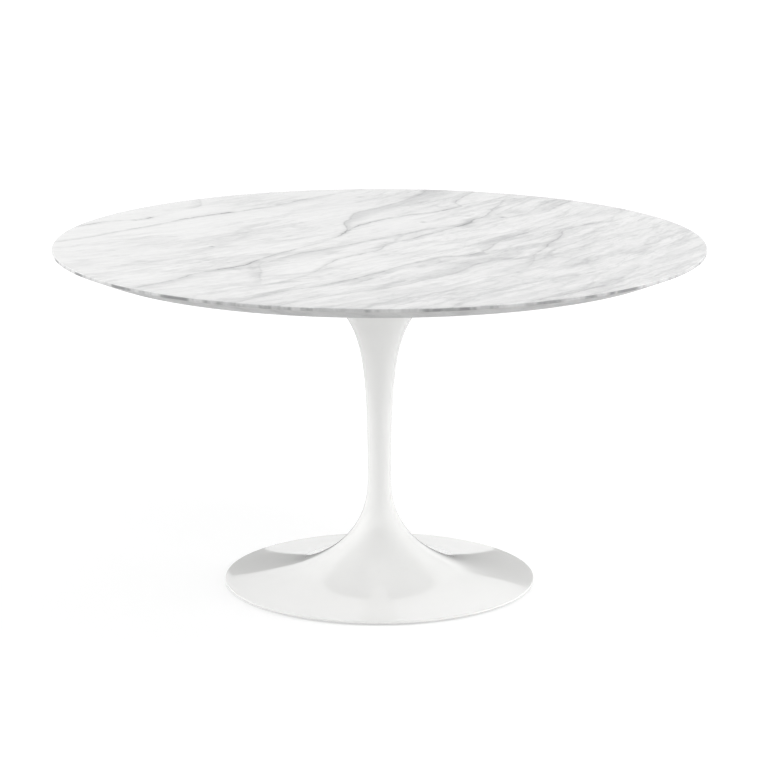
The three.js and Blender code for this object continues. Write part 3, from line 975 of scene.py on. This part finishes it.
class TABLE_OT_slab(bpy.types.Operator):
    """Build the marble slab with its bevelled edge"""

    bl_idname = "table.build_slab"
    bl_label = "Marble slab"

    def execute(self, context):
        slab = settings().slab
        low, high = levels("marble_top")
        radius = half_width("marble_top")
        outline = rounded(
            [
                (0, low),
                (radius - slab.bevel_width, low, slab.crease * 3),
                (radius, high - slab.edge_height, slab.crease),
                (radius, high, slab.arris),
                (0, high),
            ]
        )
        piece = new_object("marble_slab", turned(outline, SLAB_SEGMENTS))
        inserts = named_nodes("top_insert")
        hole = half_width(inserts[0]) + SEAT_GAP
        hole_top = levels(inserts[0])[1] + OVERCUT
        drill = [(0, low - OVERCUT), (hole, low - OVERCUT), (hole, hole_top), (0, hole_top + hole * 0.4)]
        places = [centre(node) for node in inserts]
        joined_with(piece, moved_copies(lambda: turned(drill, ROUND_SEGMENTS), places), "DIFFERENCE")
        finish_piece(piece, marble(slab), TABLE, "marble", "marble_top")
        return {"FINISHED"}


# ---- Casting ----

SKIRT_STEPS = 14
FOOT_STEPS = 40
FLARE_STEPS = 44

# How far the lacquer reaches down from the mouth, in from the rim, and in from the outer skin elsewhere.
MOUTH_BAND = 2 * MM
RIM_BAND = 5 * MM
SKIN_DEPTH = 2.5 * MM


def bent(start, start_handle, end_handle, end, steps):
    """(place, direction) pairs along a curve whose handles are a length and an angle from level."""

    def handle(point, pull, degrees):
        angle = math.radians(degrees)
        return point + Vector((math.cos(angle), math.sin(angle))) * pull

    a, d = Vector(start), Vector(end)
    b, c = handle(a, *start_handle), handle(d, *end_handle)
    pairs = []
    for step in range(steps + 1):
        t = step / steps
        s = 1 - t
        place = a * s**3 + b * (3 * s * s * t) + c * (3 * s * t * t) + d * t**3
        direction = (b - a) * (s * s) + (c - b) * (2 * s * t) + (d - c) * (t * t)
        pairs.append((place, direction.normalized()))
    return pairs


def casting_curve(casting):
    """(place, direction) pairs up the outside of the casting, from the rim to the mouth."""
    low, mouth_height = levels("pedestal")
    rim = (half_width("pedestal") - casting.rim_round, low + casting.rim_height)
    shoulder = (casting.shoulder_radius, casting.shoulder_height)
    neck = (casting.neck_radius, casting.neck_height)
    mouth = (casting.mouth_radius, mouth_height)
    rim_angle = math.degrees(casting.rim_angle)
    shoulder_angle = math.degrees(casting.shoulder_angle)
    mouth_angle = math.degrees(casting.mouth_angle)
    skirt_end = (casting.skirt_pull, -shoulder_angle)
    foot_start = (casting.foot_pull, 180 - shoulder_angle)
    flare_end = (casting.mouth_pull, 180 + mouth_angle)
    skirt = bent(rim, (casting.rim_pull, 180 - rim_angle), skirt_end, shoulder, SKIRT_STEPS)
    foot = bent(shoulder, foot_start, (casting.neck_pull, -90), neck, FOOT_STEPS)
    flare = bent(neck, (casting.flare_pull, 90), flare_end, mouth, FLARE_STEPS)
    return skirt + foot[1:] + flare[1:]


def crossing(points, height):
    """The radius at which a rising row of points crosses a height."""
    for lower, upper in zip(points, points[1:]):
        if lower[1] <= height < upper[1]:
            return lower[0] + (upper[0] - lower[0]) * (height - lower[1]) / (upper[1] - lower[1])
    raise ValueError(f"the curve never crosses {height}")


class TABLE_OT_casting(bpy.types.Operator):
    """Build the hollow trumpet-shaped casting with its ledge, bosses and bores"""

    bl_idname = "table.build_casting"
    bl_label = "Casting"

    def execute(self, context):
        casting = settings().casting
        low, high = levels("pedestal")
        foot = half_width("pedestal")
        curve = casting_curve(casting)
        outside = [place for place, _ in curve]
        across = [Vector((-direction.y, direction.x)) for _, direction in curve]
        inside = [place + side * casting.wall for place, side in zip(outside, across)]
        middle = [place + side * (casting.wall / 2) for place, side in zip(outside, across)]
        flange_low = high - casting.flange_thickness
        flange_radius = casting.mouth_radius - casting.flange_width
        hollow = [tuple(point) for point in inside if low + 1 * MM < point.y < flange_low - 1 * MM]
        rim_top = low + casting.rim_height
        outline = rounded(
            [
                (crossing(inside, low), low),
                (foot, low, casting.rim_round),
                (foot, rim_top, casting.rim_round),
                *[tuple(point) for point in outside[1:-1]],
                (*outside[-1], casting.lip_round),
                (flange_radius, high, casting.lip_round / 2),
                (flange_radius, flange_low, casting.lip_round / 2),
                (crossing(inside, flange_low), flange_low),
                *reversed(hollow),
            ]
        )
        piece = new_object("trumpet_casting", turned(outline, casting.segments))

        ledge_low = levels("clamp_plate")[1]
        ledge_high = ledge_low + casting.ledge_thickness
        ledge = rounded(
            [
                (casting.ledge_bore, ledge_low, 1 * MM),
                (crossing(middle, ledge_low), ledge_low),
                (crossing(middle, ledge_high), ledge_high),
                (casting.ledge_bore, ledge_high, 1 * MM),
            ]
        )
        joined_with(piece, turned(ledge, casting.segments), "UNION")

        pads = named_nodes("glide_pad")
        pad_top = levels(pads[0])[1] + SEAT_GAP
        circle = math.hypot(*centre(pads[0]))
        boss = casting.boss_radius
        boss_top = next(point.y for point in middle if point.x < circle + boss)
        bore = settings().hardware.stud_radius + THREAD_GAP
        bore_top = levels("glide_stud_1")[1] + OVERCUT
        recess = half_width(pads[0]) + SEAT_GAP
        boss_outline = rounded(
            [(0, pad_top), (boss, pad_top, 1 * MM), (boss * 1.06, boss_top), (0, boss_top)]
        )
        drill = [
            (0, 0),
            (recess, 0),
            (recess, pad_top),
            (bore, pad_top),
            (bore, bore_top),
            (0, bore_top + bore / 2),
        ]
        places = [centre(node) for node in pads]
        joined_with(piece, moved_copies(lambda: turned(boss_outline, SMALL_SEGMENTS), places), "UNION")
        joined_with(piece, moved_copies(lambda: turned(drill, SMALL_SEGMENTS), places), "DIFFERENCE")

        dowels = named_nodes("plate_dowel")
        pin = half_width(dowels[0]) + PIN_GAP
        pin_low = levels(dowels[0])[0] - SEAT_GAP
        socket = [(0, pin_low - pin / 2), (pin, pin_low), (pin, high + OVERCUT), (0, high + OVERCUT)]
        places = [centre(node) for node in dowels]
        joined_with(piece, moved_copies(lambda: turned(socket, ROUND_SEGMENTS), places), "DIFFERENCE")

        finish_piece(piece, lacquer(casting), TABLE, "white_lacquer", "pedestal")
        coat = cast_coat(casting)
        piece.data.materials.append(coat)
        for face in piece.data.polygons:
            if inner_face(face, outside):
                face.material_index = 1
        return {"FINISHED"}


def inner_face(face, outside):
    """Whether a face of the casting lies inside it, under its outer skin."""
    radius = math.hypot(face.center.x, face.center.y)
    height = face.center.z
    if height > outside[-1].y - MOUTH_BAND:
        return False
    if height <= outside[0].y:
        return radius < outside[0].x - RIM_BAND
    return radius < crossing(outside, height) - SKIN_DEPTH


# ---- Plate, gasket and dowels ----


class TABLE_OT_plate(bpy.types.Operator):
    """Build the mounting plate, its gasket and its dowels"""

    bl_idname = "table.build_plate"
    bl_label = "Mounting plate"

    def execute(self, context):
        hardware = settings().hardware
        steel = plate_steel(hardware)
        screws = [centre(node) for node in named_nodes("plate_screw")]
        dowels = named_nodes("plate_dowel")
        dowel_places = [centre(node) for node in dowels]

        low, high = levels("mounting_plate")
        radius = half_width("mounting_plate")
        edge = hardware.break_edge * 2
        outline = rounded([(0, low), (radius, low, edge), (radius, high, edge), (0, high)])
        plate = new_object("steel_plate", turned(outline, PLATE_SEGMENTS))
        hole = hardware.screw_hole
        drill = chamfered_drill(hole, low, high, hardware.break_edge)
        joined_with(plate, moved_copies(lambda: turned(drill, ROUND_SEGMENTS), screws), "DIFFERENCE")
        pin = half_width(dowels[0]) + PIN_GAP
        ream = chamfered_drill(pin, low, high, hardware.break_edge)
        joined_with(plate, moved_copies(lambda: turned(ream, ROUND_SEGMENTS), dowel_places), "DIFFERENCE")
        finish_piece(plate, steel, TABLE, "plate_steel", "mounting_plate")

        low, high = levels("plate_gasket")
        radius = half_width("plate_gasket")
        outline = rounded([(0, low), (radius, low, edge / 2), (radius, high, edge / 2), (0, high)])
        gasket = new_object("rubber_gasket", turned(outline, PLATE_SEGMENTS))
        punch = half_width("top_insert_1") + SEAT_GAP
        drill = [(0, low - OVERCUT), (punch, low - OVERCUT), (punch, high + OVERCUT), (0, high + OVERCUT)]
        joined_with(gasket, moved_copies(lambda: turned(drill, ROUND_SEGMENTS), screws), "DIFFERENCE")
        finish_piece(gasket, rubber(hardware), TABLE, "gasket_rubber", "plate_gasket")

        low, high = levels(dowels[0])
        radius = half_width(dowels[0])
        chamfer = radius / 4
        outline = rounded(
            [
                (0, low),
                (radius - chamfer, low),
                (radius, low + chamfer, hardware.break_edge),
                (radius, high - chamfer, hardware.break_edge),
                (radius - chamfer, high),
                (0, high),
            ]
        )
        pins = turned(outline, ROUND_SEGMENTS)
        place_copies("dowel_pin", pins, steel, [TABLE] * len(dowels), "plate_steel", dowels, 0.7)
        return {"FINISHED"}


def chamfered_drill(radius, low, high, edge):
    """The outline of a through hole with both its edges broken."""
    wide = radius + edge + OVERCUT
    return [
        (0, low - OVERCUT),
        (wide, low - OVERCUT),
        (radius, low + edge),
        (radius, high - edge),
        (wide, high + OVERCUT),
        (0, high + OVERCUT),
    ]


# ---- Screws, washers and inserts ----


class TABLE_OT_screws(bpy.types.Operator):
    """Build the plate screws, their washers and the inserts in the slab"""

    bl_idname = "table.build_screws"
    bl_label = "Screws and inserts"

    def execute(self, context):
        hardware = settings().hardware
        zinc = zinc_plating(hardware)
        screws = named_nodes("plate_screw")
        washers = named_nodes("plate_washer")
        inserts = named_nodes("top_insert")
        bodies = [TABLE] * len(screws)
        edge = hardware.break_edge

        low, high = levels(screws[0])
        head_top = levels(washers[0])[0]
        shank = hardware.screw_radius
        pitch = hardware.screw_pitch
        flats = hardware.screw_flats
        dish = 0.4 * MM
        flank = reversed(chamfered_flats(flats, low, head_top, both=False))
        outline = [
            (0, low + dish),
            (flats * 0.33, low + dish),
            (flats * 0.38, low),
            *[(radius, low + head_top - height) for radius, height in flank],
            (flats * 0.47, head_top - 0.1 * MM),
            (flats * 0.46, head_top),
            (shank, head_top),
            *stretch(shank, head_top + 1 * MM, high - 1 * MM, pitch / 6),
            (shank - 0.7 * MM, high),
            (0, high),
        ]

        def screw_shape(radius, height, angle):
            if height < head_top - 0.01 * MM:
                return min(radius, hexagon_reach(flats, angle))
            if radius == shank:
                return radius - thread_cut(height, angle, head_top + pitch, high, pitch)
            return radius

        screw = turned(outline, HEXAGON_SEGMENTS, screw_shape)
        place_copies("hex_screw", screw, zinc, bodies, "zinc_steel", screws, 0.61)

        low, high = levels(washers[0])
        radius = half_width(washers[0])
        hole = hardware.screw_hole
        outline = rounded(
            [(hole, low, edge / 2), (radius, low, edge), (radius, high, edge / 2), (hole, high, edge / 2)]
        )
        washer = turned(outline, SMALL_SEGMENTS)
        place_copies("flat_washer", washer, zinc, bodies, "zinc_steel", washers, 0.4)

        low, high = levels(inserts[0])
        radius = half_width(inserts[0])
        bore = shank + THREAD_GAP
        groove = 0.7 * MM
        middle = (low + high) / 2
        outline = [
            (bore + 0.5 * MM, low),
            (radius - 0.5 * MM, low),
            *stretch(radius, low + 1 * MM, middle - 1.5 * MM, 1 * MM),
            (radius - groove, middle - 1 * MM),
            (radius - groove, middle + 1 * MM),
            *stretch(radius, middle + 1.5 * MM, high - 1 * MM, 1 * MM),
            (radius - 0.5 * MM, high),
            (bore + 0.5 * MM, high),
            *reversed(stretch(bore, low + 0.5 * MM, high - 0.5 * MM, pitch / 4)),
        ]

        def insert_shape(reach, height, angle):
            if reach == radius:
                return reach - 0.25 * MM * (round(angle / FULL_TURN * HEXAGON_SEGMENTS) % 2)
            if reach == bore:
                return reach + thread_cut(height, angle, low, high, pitch) * 0.4
            return reach

        insert = turned(outline, HEXAGON_SEGMENTS, insert_shape)
        place_copies("knurled_insert", insert, brass(hardware), bodies, "insert_brass", inserts, 0.3)
        return {"FINISHED"}


# ---- Tie rod and its clamp ----


class TABLE_OT_tie_rod(bpy.types.Operator):
    """Build the tie rod, its boss, the clamp plate, the washer and the nuts"""

    bl_idname = "table.build_tie_rod"
    bl_label = "Tie rod"

    def execute(self, context):
        hardware = settings().hardware
        steel = bpy.data.materials.get("plate_steel") or plate_steel(hardware)
        zinc = bpy.data.materials.get("zinc_plating") or zinc_plating(hardware)
        pitch = hardware.rod_pitch
        edge = hardware.break_edge
        low, high = levels("tie_rod")
        radius = half_width("tie_rod")
        lower_end = levels("clamp_plate")[1] + 3 * pitch
        upper_start = levels("rod_boss")[0] - 3 * pitch
        outline = [
            (0, low),
            (radius - 1 * MM, low),
            *stretch(radius, low + 1 * MM, lower_end, pitch / 7),
            *stretch(radius, upper_start, high - 1 * MM, pitch / 7),
            (radius - 1 * MM, high),
            (0, high),
        ]

        def rod_shape(reach, height, angle):
            if reach < radius:
                return reach
            lower = thread_cut(height, angle, low - pitch, lower_end, pitch)
            upper = thread_cut(2 * high - height, angle, high - pitch, 2 * high - upper_start, pitch)
            return reach - lower - upper

        rod = new_object("threaded_tie_rod", turned(outline, ROUND_SEGMENTS, rod_shape))
        finish_piece(rod, zinc, TABLE, "zinc_steel", "tie_rod")

        bore = radius + THREAD_GAP
        for name, node, material, slot in (
            ("threaded_boss", "rod_boss", steel, "plate_steel"),
            ("hex_nut", "rod_nut", zinc, "zinc_steel"),
            ("thin_lock_nut", "rod_lock_nut", zinc, "zinc_steel"),
        ):
            low, high = levels(node)
            flats = half_width(node) * math.sqrt(3)
            flank = chamfered_flats(flats, low, high)
            thread = stretch(bore, low + 1 * MM, high - 1 * MM, pitch / 5)
            outline = [(bore + 0.8 * MM, low), *flank, (bore + 0.8 * MM, high), *reversed(thread)]

            def nut_shape(reach, height, angle):
                if reach == bore:
                    return reach + thread_cut(height, angle, low, high, pitch) * 0.4
                return min(reach, hexagon_reach(flats, angle))

            nut = new_object(name, turned(outline, HEXAGON_SEGMENTS, nut_shape))
            finish_piece(nut, material, TABLE, slot, node)

        hole = radius + 0.5 * MM
        for name, node, material, slot, rounding in (
            ("clamping_disc", "clamp_plate", steel, "plate_steel", edge * 2),
            ("thick_washer", "rod_washer", zinc, "zinc_steel", edge),
        ):
            low, high = levels(node)
            radius = half_width(node)
            outline = rounded(
                [(hole, low, edge), (radius, low, rounding), (radius, high, rounding), (hole, high, edge)]
            )
            ring = new_object(name, turned(outline, RING_SEGMENTS))
            finish_piece(ring, material, TABLE, slot, node)
        return {"FINISHED"}


# ---- Levelling glides ----


class TABLE_OT_glides(bpy.types.Operator):
    """Build the levelling glides, each a nylon pad that turns on a threaded stud"""

    bl_idname = "table.build_glides"
    bl_label = "Levelling glides"

    def execute(self, context):
        hardware = settings().hardware
        zinc = bpy.data.materials.get("zinc_plating") or zinc_plating(hardware)
        pads = named_nodes("glide_pad")
        studs = named_nodes("glide_stud")

        low, high = levels(studs[0])
        head = half_width(studs[0])
        head_top = low + hardware.stud_head_thickness
        shank = hardware.stud_radius
        pitch = hardware.screw_pitch
        flats = hardware.key_flats
        socket = flats / math.sqrt(3)
        socket_top = low + hardware.key_depth
        rim = 0.3 * MM
        outline = [
            (0, socket_top + 0.5 * MM),
            (socket, socket_top),
            (socket, low + rim),
            (socket + rim, low),
            (head - rim, low),
            (head, low + rim),
            (head, head_top - rim),
            (head - rim, head_top),
            (shank + rim, head_top),
            *stretch(shank, head_top + rim, high - 0.8 * MM, pitch / 7),
            (shank - 0.7 * MM, high),
            (0, high),
        ]

        def stud_shape(radius, height, angle):
            if radius == socket:
                return hexagon_reach(flats, angle)
            if radius == shank:
                return radius - thread_cut(height, angle, head_top, high, pitch)
            return radius

        stud = turned(outline, HEXAGON_SEGMENTS, stud_shape)
        place_copies("threaded_stud", stud, zinc, studs, "zinc_steel", studs, 0)

        pocket = head + SEAT_GAP
        pocket_low = low - hardware.head_play
        pocket_top = head_top + hardware.head_play
        lip = shank + SEAT_GAP
        low, high = levels(pads[0])
        radius = half_width(pads[0])
        corner = hardware.pad_corner
        key_hole = hardware.key_hole_radius
        outline = rounded(
            [
                (key_hole, low, 0.3 * MM),
                (radius - 2 * corner, low, 0.3 * MM),
                (radius, low + 1.2 * corner, corner),
                (radius, high - corner, corner / 2),
                (radius - corner, high, corner / 2),
                (lip, high, 0.3 * MM),
                (lip, pocket_top),
                (pocket, pocket_top),
                (pocket, pocket_low),
                (key_hole, pocket_low),
            ]
        )
        pad = turned(outline, DISC_SEGMENTS)
        place_copies("nylon_pad", pad, nylon(hardware), pads, "glide_nylon", pads, 0)
        return {"FINISHED"}


# ---- Studio ----

LIGHT_AIM = Vector((0, 0, 0.4))
FLAT_DISTANCE = 3.0
FLAT_THICKNESS = 0.02


def unseen_by(thing, *rays):
    """Hides a thing from some kinds of ray."""
    for ray in rays:
        setattr(thing, f"visible_{ray}", False)


def floor_paint(studio):
    """Matt white paint that glows a little, so that the floor stays clean white away from the table."""
    shader = Shader("floor_paint", Roughness=1.0, Specular_IOR_Level=0.0)
    place = shader.place()
    grain = shader.noise(place, 30.0, 2.0, 0.5)
    away = shader.add("ShaderNodeVectorMath", {"operation": "LENGTH"}, {0: place}, output=1).eased(0.4, 6.0)
    level = away * studio.floor_glow_far + (1 - away) * studio.floor_glow
    return shader.finish(
        Base_Color=shader.mix(studio.floor_colour, scaled(studio.floor_colour, 0.995), grain),
        Emission_Color=shader.grey(level),
        Emission_Strength=1.0,
    )


def studio_flat(name, corners, studio):
    """A dim upright flat behind the table that glows, the right one brighter towards its outer side, and
    that only the lacquer and the stone mirror: a painted reflection.
    """
    shape = bmesh.new()
    near = [shape.verts.new((x, FLAT_DISTANCE, z)) for x, z in corners]
    far = [shape.verts.new((x, FLAT_DISTANCE + FLAT_THICKNESS, z)) for x, z in corners]
    shape.faces.new(near)
    shape.faces.new(far[::-1])
    for index in range(len(corners)):
        shape.faces.new((near[index - 1], near[index], far[index], far[index - 1]))
    bmesh.ops.recalc_face_normals(shape, faces=shape.faces)
    shader = Shader(name + "_cloth", Base_Color=(0.02, 0.02, 0.02), Roughness=1.0, Specular_IOR_Level=0.0)
    place = shader.place()
    x, _, _ = shader.parts(place)
    reflection_grain = shader.noise(place, 40.0, 2.0, 0.5) * 0.04
    # Painted reflection: the glow rises towards the right, with a faint grain.
    level = (x.eased(0.40, 1.05) * 0.72 + reflection_grain) + studio.flat_glow
    flat = new_object(name, shape)
    flat.data.materials.append(shader.finish(Emission_Color=shader.grey(level), Emission_Strength=1.0))
    unseen_by(flat, "camera", "diffuse", "transmission", "shadow")


def soft_sky(studio):
    """A white sky of large soft panels: four sides, each with a low and a high part, and the zenith."""
    sky = Sky("soft_sky")
    x, y, z = sky.parts(sky.add("ShaderNodeTexCoord", output=0))
    flat = (1.0 - z * z).most(0.0001)
    side = {
        "back": y.most(0.0) * y / flat,
        "front": y.least(0.0) * y / flat,
        "left": x.least(0.0) * x / flat,
        "right": x.most(0.0) * x / flat,
    }
    low = sum(share * getattr(studio, name + "_low") for name, share in side.items())
    high = sum(share * getattr(studio, name + "_high") for name, share in side.items())
    raised = z.eased(0.215, 0.25)
    top = z.eased(0.6, 0.85)
    wall = low * (1.0 - raised) + high * raised
    level = wall * (1.0 - top) + top * studio.zenith
    return sky.finish(Color=sky.grey(level))


def softbox(name, place, width, height, power):
    """A rectangular area light that faces the middle of the table and that nothing mirrors."""
    light = bpy.data.lights.new(name, "AREA")
    light.shape = "RECTANGLE"
    light.size = width
    light.size_y = height
    light.energy = power
    made = bpy.data.objects.new(name, light)
    made.location = place
    made.rotation_euler = (LIGHT_AIM - Vector(place)).to_track_quat("-Z", "Y").to_euler()
    unseen_by(made, "glossy")
    bpy.context.scene.collection.objects.link(made)


class TABLE_OT_studio(bpy.types.Operator):
    """Build the white studio: floor, soft lights and camera"""

    bl_idname = "table.build_studio"
    bl_label = "Studio"

    def execute(self, context):
        studio = settings().studio
        scene = context.scene
        scene.view_settings.view_transform = "Standard"
        scene.view_settings.look = "None"

        # The sweep that only the camera sees: a floor that curves up into a dome
        reach = studio.floor_radius
        sweep_outline = rounded([(0, 0), (reach, 0, reach / 2), (reach, reach, reach * 0.45), (0, reach)])
        sweep = new_object("studio_sweep", turned(sweep_outline, RING_SEGMENTS))
        sweep.data.materials.append(floor_paint(studio))
        for face in sweep.data.polygons:
            face.use_smooth = True
        unseen_by(sweep, "diffuse", "glossy", "transmission", "shadow")

        # The floor that lights the table from below
        top, bottom = -2 * MM, -4 * MM
        disc = [(0, top), (studio.bounce_radius, top), (studio.bounce_radius, bottom), (0, bottom)]
        bounce = new_object("bounce_floor", turned(disc, DISC_SEGMENTS))
        shader = Shader("bounce_paint", Roughness=1.0, Specular_IOR_Level=0.0)
        speckle = shader.noise(shader.place(), 20.0, 2.0, 0.5)
        darker = scaled(studio.bounce_colour, 0.98)
        tone = shader.mix(studio.bounce_colour, darker, speckle)
        bounce.data.materials.append(shader.finish(Base_Color=tone))
        unseen_by(bounce, "camera", "glossy")

        scene.world = soft_sky(studio)
        softbox("key_softbox", (2.6, -0.4, 3.8), 2.4, 2.4, studio.key_power)
        softbox("left_softbox", (-4.5, 0.3, 1.6), 3.5, 2.4, studio.left_power)
        softbox("right_softbox", (4.5, 0.3, 1.6), 3.5, 2.4, studio.right_power)
        # Two glowing flats that only reflections show, painting the dark and grey reflections on the lacquer
        # and the stone.
        studio_flat("left_flat", [(-0.4, -0.6), (-0.9, -0.6), (-0.7, 0.3), (-0.5, 1.0), (-0.4, 1.0)], studio)
        studio_flat("right_flat", [(0.4, -0.6), (0.4, 1.0), (1.1, 1.0), (1.1, -0.6)], studio)

        camera = bpy.data.cameras.new("camera")
        camera.sensor_width = 36
        camera.lens = studio.camera_lens
        camera.shift_x = studio.camera_shift
        camera.clip_end = 4 * reach
        view = bpy.data.objects.new("camera", camera)
        view.location = (0, -studio.camera_distance, studio.camera_height)
        view.rotation_euler = (math.pi / 2 - studio.camera_pitch, 0, 0)
        scene.collection.objects.link(view)
        scene.camera = view
        return {"FINISHED"}


# ---- Add-on ----


class TABLE_PT_panel(bpy.types.Panel):
    """Buttons that build the table, piece by piece"""

    bl_label = "Pedestal Table"
    bl_space_type = "VIEW_3D"
    bl_region_type = "UI"
    bl_category = "Table"

    def draw(self, context):
        for operator in OPERATORS:
            self.layout.operator(operator.bl_idname)


OPERATORS = (
    TABLE_OT_studio,
    TABLE_OT_slab,
    TABLE_OT_casting,
    TABLE_OT_plate,
    TABLE_OT_screws,
    TABLE_OT_tie_rod,
    TABLE_OT_glides,
)
CLASSES = (
    SlabSettings,
    CastingSettings,
    HardwareSettings,
    StudioSettings,
    TableSettings,
    *OPERATORS,
    TABLE_PT_panel,
)


def register():
    """Registers the classes and adds the settings to the scene."""
    for cls in CLASSES:
        bpy.utils.register_class(cls)
    bpy.types.Scene.pedestal_table = PointerProperty(type=TableSettings)


def unregister():
    """Takes the settings and the classes away."""
    del bpy.types.Scene.pedestal_table
    for cls in reversed(CLASSES):
        bpy.utils.unregister_class(cls)


def main():
    """Builds the whole table."""
    register()
    bpy.ops.table.build_studio()
    bpy.ops.table.build_slab()
    bpy.ops.table.build_casting()
    bpy.ops.table.build_plate()
    bpy.ops.table.build_screws()
    bpy.ops.table.build_tie_rod()
    bpy.ops.table.build_glides()
    bpy.context.view_layer.update()


if __name__ == "__main__":
    main()
